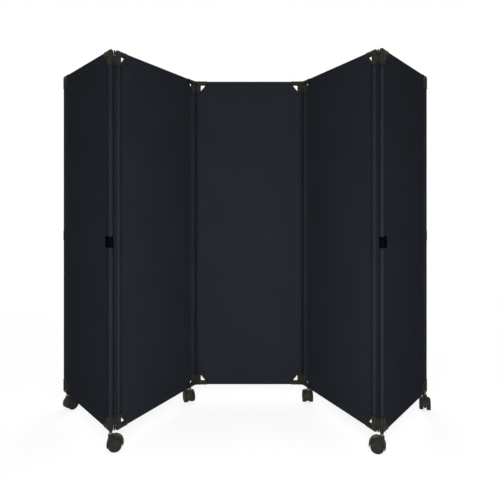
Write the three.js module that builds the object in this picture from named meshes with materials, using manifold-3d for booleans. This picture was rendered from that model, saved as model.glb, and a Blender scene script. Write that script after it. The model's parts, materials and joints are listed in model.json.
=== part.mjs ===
// Folding privacy screen: five fabric panels hinged in a zigzag, standing on six swivel casters.
// Millimetres and degrees, +Z up. The middle panel runs along X and its front faces -Y.
// Panels are numbered 1 to 5 from left to right, seen from the front.

import * as THREE from 'three';
import { mergeVertices } from 'three/addons/utils/BufferGeometryUtils.js';
import Module from 'manifold-3d';

const wasm = await Module();
wasm.setup();

// Whole screen
const screenHeight = 1814;
const underGap = 85;
const uprightSpacing = 576;
const hingePitch = 34;

// Folds at rest, in degrees from a straight line, and the share that the outer link turns first
const leftInnerFold = 61;
const leftOuterFold = 110;
const rightInnerFold = 64;
const rightOuterFold = 115;
const outerLinkTurn = 32;

// Frame tube
const tubeDiameter = 19;
const tubeWall = 1.2;
const ventDiameter = 5;

// Clearances between pieces
const fitGap = 0.3;
const eyeEndGap = 0.4;
const coverEndGap = 0.5;

// Corner bracket: socket on the rail, split knuckle and collar on the upright, brace between
const bracketWall = 3.2;
const socketLength = 47;
const seatRise = 0.5;
const knuckleHeight = 33;
const collarHeight = 10.5;
const cornerRadius = 9;
const braceWidth = 5.5;
const braceThickness = 8;
const braceRoot = 2;
const braceFootInset = 3.7;
const braceHeadRise = 3.2;

// Hinge link with its tongue out between the two brackets, and the strip that closes the joint between two links
const linkWeb = 10;
const tongueWidth = 7;
const tongueDepth = 7;
const tongueInset = 1;
const stripDepth = 14;
const stripGap = 0.5;

// Cover
const sleeveWall = 1.2;
const clothThickness = 2.5;

// Strap
const strapHeight = 50;
const strapCentre = 942;
const strapThickness = 1.5;
const strapTail = 28;

// Caster
const wheelRadius = 30;
const treadWidth = 20;
const treadGap = 17;
const treadEdge = 2.5;
const hubRecess = 1;
const rimDepth = 9;
const axleRadius = 4;
const casterTrail = 20;
const wellGap = 1;
const hoodWall = 2.5;
const hoodWidth = 56;
const hoodCrown = 4;
const hoodShoulder = 14;
const webThickness = 10;
const webRadius = 22;
const hoodFrontDrop = 20;
const hoodRearDrop = 5;
const neckTop = 74;
const neckTopRadius = 11;
const neckFootRadius = 13;
const stemRadius = 5.5;
const stemInsert = 17;
const stemInset = 30;

// Directions in which the casters trail, in degrees from +X
const casterHeadings = {
  caster_1_left: 50,
  caster_1_right: 12,
  caster_2_right: 114,
  caster_4_left: 90,
  caster_5_left: 162,
  caster_5_right: -108,
};

// Facets round a circle, chords of an arc, and the overrun of a cut past the face that it opens
const tubeSides = 10;
const mouldingSides = 10;
const wheelSides = 16;
const boreSides = 8;
const hoodSides = 18;
const strapChords = 12;
const flankChords = 4;
const cornerChords = 4;
const overrun = 3;
const weldDistance = 1e-4;

// Sizes that follow from those above
const tubeRadius = tubeDiameter / 2;
const socketBore = tubeRadius + fitGap;
const bracketRadius = socketBore + bracketWall;
const sleeveRadius = socketBore + sleeveWall;
const bottomRail = underGap + bracketRadius;
const topRail = screenHeight - bracketRadius;
const knuckleBottom = bracketRadius + seatRise;
const knuckleTop = knuckleBottom + knuckleHeight;
const collarTop = knuckleTop + collarHeight;
const linkHeight = knuckleHeight - 2 * eyeEndGap;
const tongueReach = knuckleBottom + eyeEndGap + bracketRadius - tongueInset;
const hoodRadius = wheelRadius / Math.cos(Math.PI / wheelSides) + wellGap + hoodWall;
const stemTop = underGap + stemInsert;

const finishes = {
  fabric: { color: 0x252a30, roughness: 0.95, metalness: 0 },
  tube: { color: 0x9a9c9e, roughness: 0.45, metalness: 0.9 },
  moulding: { color: 0x3c3d37, roughness: 0.6, metalness: 0 },
  strip: { color: 0x17191d, roughness: 0.8, metalness: 0 },
  strap: { color: 0x0c0e12, roughness: 0.95, metalness: 0 },
  caster: { color: 0x383830, roughness: 0.5, metalness: 0 },
  wheel: { color: 0x26261f, roughness: 0.6, metalness: 0 },
};

const radians = THREE.MathUtils.degToRad;

// A polygon of this outer radius just holds a circle of the given radius
const roundedOut = (radius, sides) => radius / Math.cos(Math.PI / sides);

// Solids and meshes

function toSolid(geometry) {
  const bare = geometry.clone();
  bare.deleteAttribute('normal');
  bare.deleteAttribute('uv');
  const welded = mergeVertices(bare, weldDistance);
  const triangles = [];
  for (let i = 0; i < welded.index.count; i += 3) {
    const [a, b, c] = [0, 1, 2].map((corner) => welded.index.getX(i + corner));
    if (a !== b && b !== c && c !== a) triangles.push(a, b, c);
  }
  return new wasm.Manifold(new wasm.Mesh({
    numProp: 3,
    vertProperties: welded.attributes.position.array,
    triVerts: new Uint32Array(triangles),
  }));
}

function toMesh(name, solid, finish) {
  const { vertProperties, triVerts } = solid.getMesh();
  const geometry = new THREE.BufferGeometry();
  geometry.setAttribute('position', new THREE.BufferAttribute(vertProperties, 3));
  geometry.setIndex(new THREE.BufferAttribute(triVerts, 1));
  geometry.computeVertexNormals();
  const mesh = new THREE.Mesh(geometry, new THREE.MeshStandardMaterial(finishes[finish]));
  mesh.name = name;
  return mesh;
}

// A round bar between two heights on the Z axis, moved sideways by x
function uprightBar(radius, low, high, sides, x = 0, topRadius = radius) {
  const bar = new THREE.CylinderGeometry(topRadius, radius, high - low, sides);
  bar.rotateX(Math.PI / 2).translate(x, 0, (low + high) / 2);
  return toSolid(bar);
}

// A round bar along Y about a point of the XZ plane
function crossBar(radius, near, far, sides, x, z) {
  const bar = new THREE.CylinderGeometry(radius, radius, far - near, sides);
  bar.translate(x, (near + far) / 2, z);
  return toSolid(bar);
}

// An outline given its depth. Each arc in it becomes this many chords, two for each curve segment.
function extrude(outline, depth, chords = cornerChords) {
  return new THREE.ExtrudeGeometry(outline, { depth, bevelEnabled: false, curveSegments: chords / 2 });
}

// An outline in the XZ plane, given its thickness along Y about the middle plane
function plate(outline, thickness, chords) {
  const slab = extrude(outline, thickness, chords);
  slab.translate(0, 0, -thickness / 2).rotateX(Math.PI / 2);
  return toSolid(slab);
}

// An outline in the XY plane, raised from one height to another
function column(outline, low, high, chords) {
  return toSolid(extrude(outline, high - low, chords).translate(0, 0, low));
}

// A round tube along a path of straight runs in the XZ plane, mitred at each corner
function mitredTube(path, radius, sides, isLoop) {
  const last = path.length - 1;
  const positions = [];
  const indices = [];
  const normalOf = (from, to) => new THREE.Vector2(to.y - from.y, from.x - to.x).normalize();
  path.forEach((corner, i) => {
    const arriving = i > 0 || isLoop ? normalOf(path[i > 0 ? i - 1 : last], corner) : null;
    const leaving = i < last || isLoop ? normalOf(corner, path[i < last ? i + 1 : 0]) : arriving;
    const mitre = leaving.clone().add(arriving ?? leaving);
    mitre.multiplyScalar(2 / mitre.lengthSq());
    for (let side = 0; side < sides; side++) {
      const turn = (2 * Math.PI * side) / sides;
      const outward = radius * Math.cos(turn);
      positions.push(corner.x + mitre.x * outward, radius * Math.sin(turn), corner.y + mitre.y * outward);
    }
  });
  const at = (station, side) => (station % path.length) * sides + (side % sides);
  for (let station = 0; station < (isLoop ? path.length : last); station++) {
    for (let side = 0; side < sides; side++) {
      indices.push(at(station, side), at(station, side + 1), at(station + 1, side));
      indices.push(at(station, side + 1), at(station + 1, side + 1), at(station + 1, side));
    }
  }
  for (let side = 1; side < sides - 1 && !isLoop; side++) {
    indices.push(at(0, 0), at(0, side + 1), at(0, side));
    indices.push(at(last, 0), at(last, side), at(last, side + 1));
  }
  const tube = new THREE.BufferGeometry();
  tube.setAttribute('position', new THREE.Float32BufferAttribute(positions, 3));
  tube.setIndex(indices);
  return toSolid(tube);
}

// Panel pieces. A panel stands in the XZ plane with its uprights at plus and minus half the spacing.

const halfPanel = uprightSpacing / 2;
const railPath = [
  new THREE.Vector2(-halfPanel, bottomRail),
  new THREE.Vector2(halfPanel, bottomRail),
  new THREE.Vector2(halfPanel, topRail),
  new THREE.Vector2(-halfPanel, topRail),
];

// The stems of the casters below a panel need holes; x counts from the middle of the panel
const stemHole = (x) => uprightBar(
  roundedOut(stemRadius + fitGap, boreSides), underGap - overrun, stemTop + fitGap, boreSides, x);

function tubeFrame(stemPlaces) {
  const outside = mitredTube(railPath, tubeRadius, tubeSides, true);
  const inside = mitredTube(railPath, tubeRadius - tubeWall, tubeSides, true);
  const vent = uprightBar(ventDiameter / 2, bottomRail - tubeDiameter, bottomRail, boreSides);
  return stemPlaces.reduce((frame, x) => frame.subtract(stemHole(x)), outside.subtract(inside).subtract(vent));
}

// A straight run of tube or sleeve along one side of the panel, short of both corners
function sideRun(radius, from, to) {
  return mitredTube([from, to], radius, tubeSides, false);
}

function cover() {
  const railEnd = halfPanel - socketLength - coverEndGap;
  const uprightLow = bottomRail + collarTop + coverEndGap;
  const uprightHigh = topRail - collarTop - coverEndGap;
  const runs = [
    [[-railEnd, bottomRail], [railEnd, bottomRail]],
    [[halfPanel, uprightLow], [halfPanel, uprightHigh]],
    [[railEnd, topRail], [-railEnd, topRail]],
    [[-halfPanel, uprightHigh], [-halfPanel, uprightLow]],
  ].map((run) => run.map(([x, z]) => new THREE.Vector2(x, z)));

  // The cloth fills the frame, but for a slanting corner outside each brace
  const margin = bracketRadius + coverEndGap;
  const uprightEdge = halfPanel - margin;
  const clothEdge = [
    [-railEnd, bottomRail], [railEnd, bottomRail],
    [railEnd, bottomRail + margin], [uprightEdge, uprightLow],
    [halfPanel, uprightLow], [halfPanel, uprightHigh],
    [uprightEdge, uprightHigh], [railEnd, topRail - margin],
    [railEnd, topRail], [-railEnd, topRail],
    [-railEnd, topRail - margin], [-uprightEdge, uprightHigh],
    [-halfPanel, uprightHigh], [-halfPanel, uprightLow],
    [-uprightEdge, uprightLow], [-railEnd, bottomRail + margin],
  ].map(([x, z]) => new THREE.Vector2(x, z));

  const cloth = plate(new THREE.Shape(clothEdge), clothThickness);
  const sleeved = runs.reduce((solid, run) => solid.add(sideRun(sleeveRadius, ...run)), cloth);
  return sleeved.subtract(mitredTube(railPath, socketBore, tubeSides, true));
}

// Corner bracket, with its corner at the origin, its socket along +X and its collar up +Z
function bracket(isHinged, stemPlace) {
  const corner = new THREE.Vector2(0, 0);
  const legs = [new THREE.Vector2(socketLength, 0), corner, new THREE.Vector2(0, collarTop)];
  const bores = [
    new THREE.Vector2(socketLength + overrun, 0), corner, new THREE.Vector2(0, collarTop + overrun),
  ];
  let body = mitredTube(legs, bracketRadius, mouldingSides, false).add(brace());
  if (isHinged) {
    body = body.subtract(uprightBar(
      roundedOut(bracketRadius + stripGap, mouldingSides), knuckleBottom, knuckleTop, mouldingSides));
  }
  body = body.subtract(cornerSpandrel()).subtract(mitredTube(bores, socketBore, tubeSides, false));
  return stemPlace === undefined ? body : body.subtract(stemHole(stemPlace).translate([0, 0, -bottomRail]));
}

// The slanting brace from the socket to the collar
function brace() {
  const foot = new THREE.Vector2(socketLength - braceFootInset, bracketRadius - braceRoot);
  const head = new THREE.Vector2(bracketRadius - braceRoot, knuckleTop + braceHeadRise);
  const along = head.clone().sub(foot).normalize();
  const across = new THREE.Vector2(along.y, -along.x).multiplyScalar(braceWidth / 2);
  const outline = new THREE.Shape([
    foot.clone().sub(across), foot.clone().add(across), head.clone().add(across), head.clone().sub(across),
  ]);
  return plate(outline, braceThickness);
}

// What the rounding of the outer corner takes away
function cornerSpandrel() {
  const outside = -bracketRadius - overrun;
  const centre = cornerRadius - bracketRadius;
  const outline = new THREE.Shape();
  outline.moveTo(outside, outside);
  outline.lineTo(centre, outside);
  outline.lineTo(centre, -bracketRadius);
  outline.absarc(centre, centre, cornerRadius, -Math.PI / 2, -Math.PI, true);
  outline.lineTo(outside, centre);
  return plate(outline, 2 * (bracketRadius + overrun));
}

// Hinge link: two eyes at the pitch of the uprights, with a web between them, and a tongue below the web
// that fills the gap between the brackets
function link() {
  const webHalf = linkWeb / 2;
  const meet = Math.asin(webHalf / bracketRadius);
  const eye = hingePitch / 2;
  const outline = new THREE.Shape();
  outline.absarc(eye, 0, bracketRadius, meet - Math.PI, Math.PI - meet, false);
  outline.absarc(-eye, 0, bracketRadius, meet, 2 * Math.PI - meet, false);
  for (const x of [-eye, eye]) {
    const hole = new THREE.Path();
    hole.absarc(x, 0, roundedOut(socketBore, mouldingSides), 0, 2 * Math.PI, true);
    outline.holes.push(hole);
  }
  const tongue = new THREE.BoxGeometry(tongueWidth, tongueDepth, tongueReach + overrun);
  tongue.translate(0, 0, (overrun - tongueReach) / 2);
  return column(outline, 0, linkHeight, mouldingSides).add(toSolid(tongue));
}

// Light-stop strip: a hollow-sided bar that both uprights can turn past
function lightStrip() {
  const flank = bracketRadius + stripGap;
  const half = Math.asin(stripDepth / 2 / flank);
  const eye = hingePitch / 2;
  const outline = new THREE.Shape();
  outline.absarc(eye, 0, flank, Math.PI + half, Math.PI - half, true);
  outline.absarc(-eye, 0, flank, half, -half, true);
  const linkTop = bottomRail + knuckleBottom + eyeEndGap + linkHeight;
  return column(outline, linkTop + fitGap, bottomRail + topRail - linkTop - fitGap, flankChords);
}

// Strap: a band round the outside of an upright's sleeve, with its two tails on the cloth.
// The upright is at the origin and the cloth lies along +X.
function strap() {
  const inner = sleeveRadius + fitGap;
  const outer = inner + strapThickness;
  const slit = clothThickness / 2 + fitGap;
  const tailEnd = new THREE.Vector2(strapTail, slit + strapThickness);
  const leave = Math.acos(outer / tailEnd.length()) + tailEnd.angle();
  const outline = new THREE.Shape();
  outline.moveTo(strapTail, -slit - strapThickness);
  outline.absarc(0, 0, outer, -leave, leave - 2 * Math.PI, true);
  outline.lineTo(strapTail, slit + strapThickness);
  outline.lineTo(strapTail, slit);
  outline.absarc(0, 0, inner, leave, 2 * Math.PI - leave, false);
  outline.lineTo(strapTail, -slit);
  return column(outline, strapCentre - strapHeight / 2, strapCentre + strapHeight / 2, strapChords);
}

// Caster pieces. The stem is on the Z axis, the floor at zero, and the wheels trail along +X.

// Two wheels and their axle, turned in one piece about Y
function wheelPair() {
  const inner = treadGap / 2;
  const outer = inner + treadWidth;
  const tread = roundedOut(wheelRadius, wheelSides);
  const side = [
    [axleRadius, inner],
    [tread, inner],
    [tread, outer - treadEdge],
    [tread - treadEdge, outer],
    [tread - rimDepth, outer],
    [tread - rimDepth - hubRecess, outer - hubRecess],
    [0, outer - hubRecess],
  ];
  const mirrored = side.map(([radius, y]) => [radius, -y]).reverse();
  const profile = [...mirrored, ...side].map(([radius, y]) => new THREE.Vector2(radius, y));
  const turned = new THREE.LatheGeometry(profile, wheelSides);
  turned.rotateY(Math.PI / wheelSides);
  return toSolid(turned);
}

// Crowned hood over the wheels with the web that carries the axle, the neck and the stem
function casterHood() {
  const axle = { x: casterTrail, z: wheelRadius };
  const half = hoodWidth / 2;
  const barrel = crossBar(hoodRadius, -half, half, hoodSides, axle.x, axle.z)
    .add(crossBar(hoodRadius + hoodCrown, -hoodShoulder, hoodShoulder, hoodSides, axle.x, axle.z))
    .hull();
  const below = new THREE.Shape([
    new THREE.Vector2(axle.x, axle.z),
    ...[Math.PI + radians(hoodFrontDrop), 3 / 2 * Math.PI, -radians(hoodRearDrop)].map((turn) => (
      new THREE.Vector2(Math.cos(turn), Math.sin(turn)).multiplyScalar(hoodWidth).add(new THREE.Vector2(axle.x, axle.z)))),
  ]);
  const neck = uprightBar(neckFootRadius, axle.z, neckTop, mouldingSides, 0, neckTopRadius);
  const stem = uprightBar(stemRadius, axle.z, stemTop, boreSides);
  const wellRadius = hoodRadius - hoodWall;
  const web = webThickness / 2;
  const reach = half + overrun;
  const bore = roundedOut(axleRadius + fitGap, boreSides);
  return barrel
    .subtract(plate(below, 2 * reach))
    .add(crossBar(webRadius, -web, web, hoodSides, axle.x, axle.z))
    .add(neck)
    .subtract(crossBar(wellRadius, web, reach, hoodSides, axle.x, axle.z))
    .subtract(crossBar(wellRadius, -reach, -web, hoodSides, axle.x, axle.z))
    .add(stem.subtract(uprightBar(neckTopRadius, axle.z - overrun, neckTop - overrun, boreSides)))
    .subtract(crossBar(bore, -reach, reach, boreSides, axle.x, axle.z));
}

// Placing

const screen = new THREE.Group();

function place(group, x, y, heading) {
  group.position.set(x, y, 0);
  group.rotation.z = radians(heading);
  return group;
}

// The four corners of a panel: which side, which end, and the half turn that brings the bracket there
const corners = [
  { name: 'bottom_left', side: -1, rail: bottomRail, turn: [0, 0, 0] },
  { name: 'bottom_right', side: 1, rail: bottomRail, turn: [0, 0, Math.PI] },
  { name: 'top_left', side: -1, rail: topRail, turn: [Math.PI, 0, 0] },
  { name: 'top_right', side: 1, rail: topRail, turn: [0, Math.PI, 0] },
];

const stemPlaceOf = { left: (inset) => inset - halfPanel, right: (inset) => halfPanel - inset };

// hinged and straps name the ends of the panel that have them; casters gives each one's inset
function panel(number, { hinged, casters = {}, straps = [] }) {
  const group = new THREE.Group();
  const stemPlaces = Object.entries(casters).map(([end, inset]) => stemPlaceOf[end](inset));
  group.add(toMesh(`panel_${number}_frame`, tubeFrame(stemPlaces), 'tube'));
  group.add(toMesh(`panel_${number}_cover`, cover(), 'fabric'));
  for (const { name, side, rail, turn } of corners) {
    const [level, end] = name.split('_');
    const inset = level === 'bottom' ? casters[end] : undefined;
    const piece = toMesh(`panel_${number}_bracket_${name}`, bracket(hinged.includes(end), inset), 'moulding');
    piece.position.set(side * halfPanel, 0, rail);
    piece.rotation.set(...turn);
    group.add(piece);
  }
  for (const end of straps) {
    const band = toMesh(`panel_${number}_strap_${end}`, strap(), 'strap');
    band.position.x = stemPlaceOf[end](0);
    band.rotation.z = end === 'left' ? 0 : Math.PI;
    group.add(band);
  }
  for (const [end, inset] of Object.entries(casters)) {
    group.add(caster(`caster_${number}_${end}`, stemPlaceOf[end](inset)));
  }
  return group;
}

function caster(name, x) {
  const group = new THREE.Group();
  group.name = name;
  group.position.x = x;
  const wheels = toMesh(`${name}_wheels`, wheelPair(), 'wheel');
  wheels.position.set(casterTrail, 0, wheelRadius);
  group.add(toMesh(`${name}_hood`, casterHood(), 'caster'), wheels);
  return group;
}

function hinge(name) {
  const group = new THREE.Group();
  const bottom = toMesh(`${name}_link_bottom`, link(), 'moulding');
  const top = toMesh(`${name}_link_top`, link(), 'moulding');
  bottom.position.z = bottomRail + knuckleBottom + eyeEndGap;
  top.position.z = topRail - knuckleBottom - eyeEndGap;
  top.rotation.x = Math.PI;
  group.add(bottom, top, toMesh(`${name}_light_strip`, lightStrip(), 'strip'));
  return group;
}

// Walks outwards from the middle panel: direction -1 builds the left wing, 1 the right wing
function wing(direction, innerFold, outerFold, pieces) {
  const spot = new THREE.Vector2(direction * halfPanel, 0);
  let heading = 0;
  const turns = [innerFold / 2, innerFold / 2, -outerLinkTurn, outerLinkTurn - outerFold];
  pieces.forEach((piece, i) => {
    heading -= direction * turns[i];
    const length = i % 2 ? uprightSpacing : hingePitch;
    const step = new THREE.Vector2(direction * length, 0).rotateAround(new THREE.Vector2(), radians(heading));
    const middle = spot.clone().addScaledVector(step, 1 / 2);
    screen.add(place(piece, middle.x, middle.y, heading));
    spot.add(step);
  });
}

screen.add(panel(3, { hinged: ['left', 'right'] }));
wing(-1, leftInnerFold, leftOuterFold, [
  hinge('hinge_23'),
  panel(2, { hinged: ['left', 'right'], casters: { right: stemInset } }),
  hinge('hinge_12'),
  panel(1, { hinged: ['right'], casters: { left: stemInset, right: 0 }, straps: ['left', 'right'] }),
]);
wing(1, rightInnerFold, rightOuterFold, [
  hinge('hinge_34'),
  panel(4, { hinged: ['left', 'right'], casters: { left: stemInset } }),
  hinge('hinge_45'),
  panel(5, { hinged: ['left'], casters: { left: 0, right: 0 }, straps: ['left', 'right'] }),
]);

// Each caster trails in its own direction, whatever way its panel stands
for (const [name, trail] of Object.entries(casterHeadings)) {
  const group = screen.getObjectByName(name);
  group.rotation.z = radians(trail) - group.parent.rotation.z;
}

// The origin is on the floor under the middle of the whole screen
const extent = new THREE.Box3().setFromObject(screen, true);
const centre = extent.getCenter(new THREE.Vector3());
for (const child of screen.children) child.position.sub(new THREE.Vector3(centre.x, centre.y, 0));

export default screen;
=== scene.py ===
"""Folding ward privacy screen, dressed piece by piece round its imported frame.

Lengths are metres. The floor is at zero, the middle panel runs along X and its front faces -Y.
"""

import json
import math

import bmesh
import bpy
import numpy as np
from bpy.props import FloatProperty, FloatVectorProperty, PointerProperty
from mathutils import Matrix, Vector


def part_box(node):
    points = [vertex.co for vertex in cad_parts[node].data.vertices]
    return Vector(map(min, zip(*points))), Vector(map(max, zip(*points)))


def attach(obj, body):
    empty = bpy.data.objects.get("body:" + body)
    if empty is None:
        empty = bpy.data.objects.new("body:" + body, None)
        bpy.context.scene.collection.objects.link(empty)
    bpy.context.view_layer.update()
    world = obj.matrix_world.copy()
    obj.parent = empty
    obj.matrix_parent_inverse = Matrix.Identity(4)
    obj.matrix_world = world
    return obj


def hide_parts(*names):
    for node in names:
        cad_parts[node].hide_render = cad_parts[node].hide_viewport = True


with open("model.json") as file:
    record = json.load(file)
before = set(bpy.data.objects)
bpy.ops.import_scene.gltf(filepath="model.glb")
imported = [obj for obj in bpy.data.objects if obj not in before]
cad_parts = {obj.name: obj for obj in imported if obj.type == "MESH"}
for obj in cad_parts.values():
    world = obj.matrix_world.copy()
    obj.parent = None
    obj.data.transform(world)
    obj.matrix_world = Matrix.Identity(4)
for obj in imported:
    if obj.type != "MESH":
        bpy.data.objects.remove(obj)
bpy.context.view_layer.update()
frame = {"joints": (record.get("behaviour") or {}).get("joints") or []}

bl_info = {
    "name": "Ward privacy screen",
    "version": (1, 0, 0),
    "blender": (4, 5, 0),
    "location": "3D View > Sidebar > Screen",
    "description": "Makes the tubes, cloth, mouldings, hinges, straps and casters of a folding screen",
    "category": "Add Mesh",
}

MM = 0.001
METRE = 1000 * MM
joint_place = {joint["name"]: Vector(joint["pos_m"]) for joint in frame["joints"]}

# Two joints along each panel from left to right, and along each pair of hinge links
PANELS = {
    1: ("swivel_1_left", "pivot_1_right"),
    2: ("pivot_2_left", "pivot_2_right"),
    3: ("pivot_3_left", "pivot_3_right"),
    4: ("pivot_4_left", "pivot_4_right"),
    5: ("pivot_5_left", "swivel_5_right"),
}
HINGES = {
    "hinge_12": ("pivot_1_right", "pivot_2_left"),
    "hinge_23": ("pivot_2_right", "pivot_3_left"),
    "hinge_34": ("pivot_3_right", "pivot_4_left"),
    "hinge_45": ("pivot_4_right", "pivot_5_left"),
}
CASTERS = ("1_left", "1_right", "2_right", "4_left", "5_left", "5_right")
STRAPS = ((1, "left"), (1, "right"), (5, "left"), (5, "right"))
CORNERS = {
    "bottom_left": (-1, "low", Matrix.Identity(4)),
    "bottom_right": (1, "low", Matrix.Rotation(math.pi, 4, "Z")),
    "top_left": (-1, "high", Matrix.Rotation(math.pi, 4, "X")),
    "top_right": (1, "high", Matrix.Rotation(math.pi, 4, "Y")),
}


def length(label, description, millimetres):
    """A size in the sidebar, with its default in millimetres."""
    return FloatProperty(name=label, description=description, default=millimetres * MM, min=0.0,
                         precision=5, subtype="DISTANCE", unit="LENGTH")


def tint(label, description, colour):
    """A colour in the sidebar, scene linear."""
    return FloatVectorProperty(name=label, description=description, default=colour, size=3,
                               min=0.0, max=1.0, subtype="COLOR")


class FrameSizes(bpy.types.PropertyGroup):
    """Tube, corner mouldings and hinge links"""
    tube_radius: length("Tube radius", "Outside radius of the frame tube", 9.5)
    running_gap: length("Running gap", "Gap between a tube and what turns or slides on it", 0.3)
    moulding_radius: length("Moulding radius", "Outside radius of sockets, collars and hinge eyes", 13)
    bead_rise: length("Bead rise", "How far the rim of a socket stands above its sleeve", 0.6)
    bead_length: length("Bead length", "Width of the rim of a socket", 5)
    socket_length: length("Socket length", "From the upright's axis to the mouth of the socket", 47)
    slot_low: length("Slot low", "Lower face of the hinge slot above the rail's axis", 13.5)
    slot_high: length("Slot high", "Upper face of the hinge slot above the rail's axis", 46.5)
    collar_top: length("Collar top", "Top of the collar above the rail's axis", 57)
    brace_width: length("Brace width", "Width of the slanting brace", 5.5)
    brace_depth: length("Brace depth", "Front-to-back size of the slanting brace", 8)
    brace_root: length("Brace root", "How deep each end of the brace sits in its sleeve", 2)
    brace_foot_inset: length("Brace foot", "From the mouth of the socket to the brace", 3.7)
    brace_head_rise: length("Brace head", "From the slot's upper face to the brace", 3.2)
    moulded_edge: length("Moulded edge", "Radius on the edges of the mouldings", 1.1)
    moulded_fillet: length("Moulded fillet", "Radius where parts of a moulding meet", 4)
    eye_gap: length("Eye gap", "Gap above and below a hinge eye in its slot", 0.4)
    web_width: length("Web width", "Thickness of the web between two hinge eyes", 10)
    tongue: length("Tongue", "Width and depth of the tongue between two corner mouldings", 7)
    tongue_inset: length("Tongue inset", "From the end of the tongue to the outer face of the mouldings", 1)
    strip_gap: length("Strip gap", "Gap between the light strip and the uprights beside it", 0.5)
    strip_depth: length("Strip depth", "Front-to-back size of the light strip", 14)
    rivet_radius: length("Rivet radius", "Radius of a rivet's head", 2.6)
    rivet_rise: length("Rivet rise", "Height of a rivet's head", 1.1)
    rivet_place: length("Rivet place", "From the upright's axis to the rivet in the socket", 33)


class ClothSizes(bpy.types.PropertyGroup):
    """Cover, stitching and straps"""
    cloth: length("Cloth", "Thickness of one layer of cloth", 0.9)
    sleeve_slack: length("Sleeve slack", "Gap between the tube and the sleeve", 0.1)
    end_gap: length("End gap", "Gap between the cover and the corner mouldings", 0.5)
    sleeve_tip: length("Sleeve tip", "From the tube's axis to where the two sides of a sleeve meet", 15.5)
    seam: length("Seam", "From the tube's axis to the row of stitches", 20)
    hem: length("Hem", "From the tube's axis to the end of the hem", 25)
    ripple: length("Ripple", "Height of the slight waves in the stretched cloth", 1.1)
    grid: length("Grid", "Size of the squares that the cloth is divided into", 9)
    stitch_pitch: length("Stitch pitch", "From one stitch to the next", 4.6)
    stitch_length: length("Stitch length", "Length of one stitch", 3.4)
    thread: length("Thread", "Radius of the sewing thread", 0.3)
    strap_height: length("Strap height", "Width of the hook-and-loop strap", 50)
    strap_centre: length("Strap centre", "Height of the middle of the straps", 942)
    strap: length("Strap", "Thickness of the strap", 1.4)
    strap_tail: length("Strap tail", "From the upright's axis to the end of a strap at a hinged end", 50)


class CasterSizes(bpy.types.PropertyGroup):
    """Caster and its wheels"""
    wheel_radius: length("Wheel radius", "Radius of a wheel at its tread", 30)
    tread_gap: length("Tread gap", "Clear width between the two wheels", 17)
    tread_width: length("Tread width", "Width of one wheel", 20)
    axle_radius: length("Axle radius", "Radius of the axle", 4)
    hood_radius: length("Hood radius", "Outside radius of the hood about the axle", 34)
    hood_width: length("Hood width", "Width of the hood", 56)
    hood_wall: length("Hood wall", "Thickness of the hood at its middle", 2.5)
    hood_crown: length("Hood crown", "How much higher the hood is at its middle than at its sides", 4)
    web_radius: length("Web radius", "Radius of the web between the wheels, below the axle", 22)
    web_width: length("Web width", "Thickness of the web between the wheels", 10)
    neck_top: length("Neck top", "Height of the top of the neck", 74)
    neck_top_radius: length("Neck top radius", "Radius of the neck at its top", 11)
    neck_foot_radius: length("Neck foot radius", "Radius of the neck at the axle", 13)
    stem_radius: length("Stem radius", "Radius of the steel stem", 5.5)
    stem_top: length("Stem top", "Height of the top of the stem", 102)
    fillet: length("Fillet", "Radius where the neck meets the hood", 5)


class ScreenColours(bpy.types.PropertyGroup):
    """Colours of the pieces"""
    cloth: tint("Cloth", "Woven cover", (0.0195, 0.0222, 0.0276))
    thread: tint("Thread", "Sewing thread", (0.026, 0.030, 0.037))
    tube: tint("Tube", "Painted frame tube", (0.33, 0.34, 0.35))
    moulding: tint("Moulding", "Corner mouldings and hinge links", (0.0190, 0.0182, 0.0148))
    # Dark rubber of the light strips, its colour also darkened as painted shade for the recessed joint
    # between the uprights
    rubber: tint("Rubber", "Light strips", (0.0090, 0.0106, 0.0144))
    strap: tint("Strap", "Hook-and-loop straps", (0.0016, 0.0021, 0.0034))
    caster: tint("Caster", "Hoods and wheel discs", (0.0215, 0.0202, 0.0160))
    tyre: tint("Tyre", "Treads of the wheels", (0.0170, 0.0165, 0.0140))
    steel: tint("Steel", "Stems and rivets", (0.22, 0.22, 0.21))
    floor: tint("Floor", "Floor", (0.80, 0.80, 0.80))


# Placing

def facing(middle, along):
    """A frame with its origin on the floor below middle and its X along a level direction."""
    turn = math.atan2(along.y, along.x)
    return Matrix.Translation((middle.x, middle.y, 0)) @ Matrix.Rotation(turn, 4, "Z")


def hinge_place(left, right):
    """The frame of a hinge: origin midway between its uprights, X from the left one to the right one."""
    start, end = joint_place[left], joint_place[right]
    return facing((start + end) / 2, end - start)


def is_hinged(number, end):
    """Whether a panel has a neighbour at this end."""
    left, right = PANELS[number]
    return (left if end == "left" else right).startswith("pivot")


def panel_place(number):
    """The frame of a panel: origin midway between its uprights, X from left to right."""
    start, end = (joint_place[name] for name in PANELS[number])
    reach = (end - start).normalized() * half_spacing()
    return facing(start + reach if is_hinged(number, "left") else end - reach, reach)


def caster_place(name):
    """The frame of a caster: stem on Z, floor at zero, wheels trailing along X."""
    stem, axle = joint_place[f"swivel_{name}"], joint_place[f"roll_{name}"]
    return facing(stem, axle - stem)


def caster_trail(name):
    stem, axle = joint_place[f"swivel_{name}"], joint_place[f"roll_{name}"]
    return math.hypot(axle.x - stem.x, axle.y - stem.y)


def half_distance(joints):
    start, end = (joint_place[name] for name in joints)
    return (end - start).length / 2


def half_spacing():
    """Half the distance between the two uprights of a panel."""
    return half_distance(PANELS[3])


def half_pitch():
    """Half the distance between the two uprights of a hinge."""
    return half_distance(HINGES["hinge_23"])


def rail_heights(sizes):
    """Heights of the axes of the bottom and the top rail, read from the middle frame."""
    low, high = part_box("panel_3_frame")
    return {"low": low.z + sizes.tube_radius, "high": high.z - sizes.tube_radius}


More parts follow.
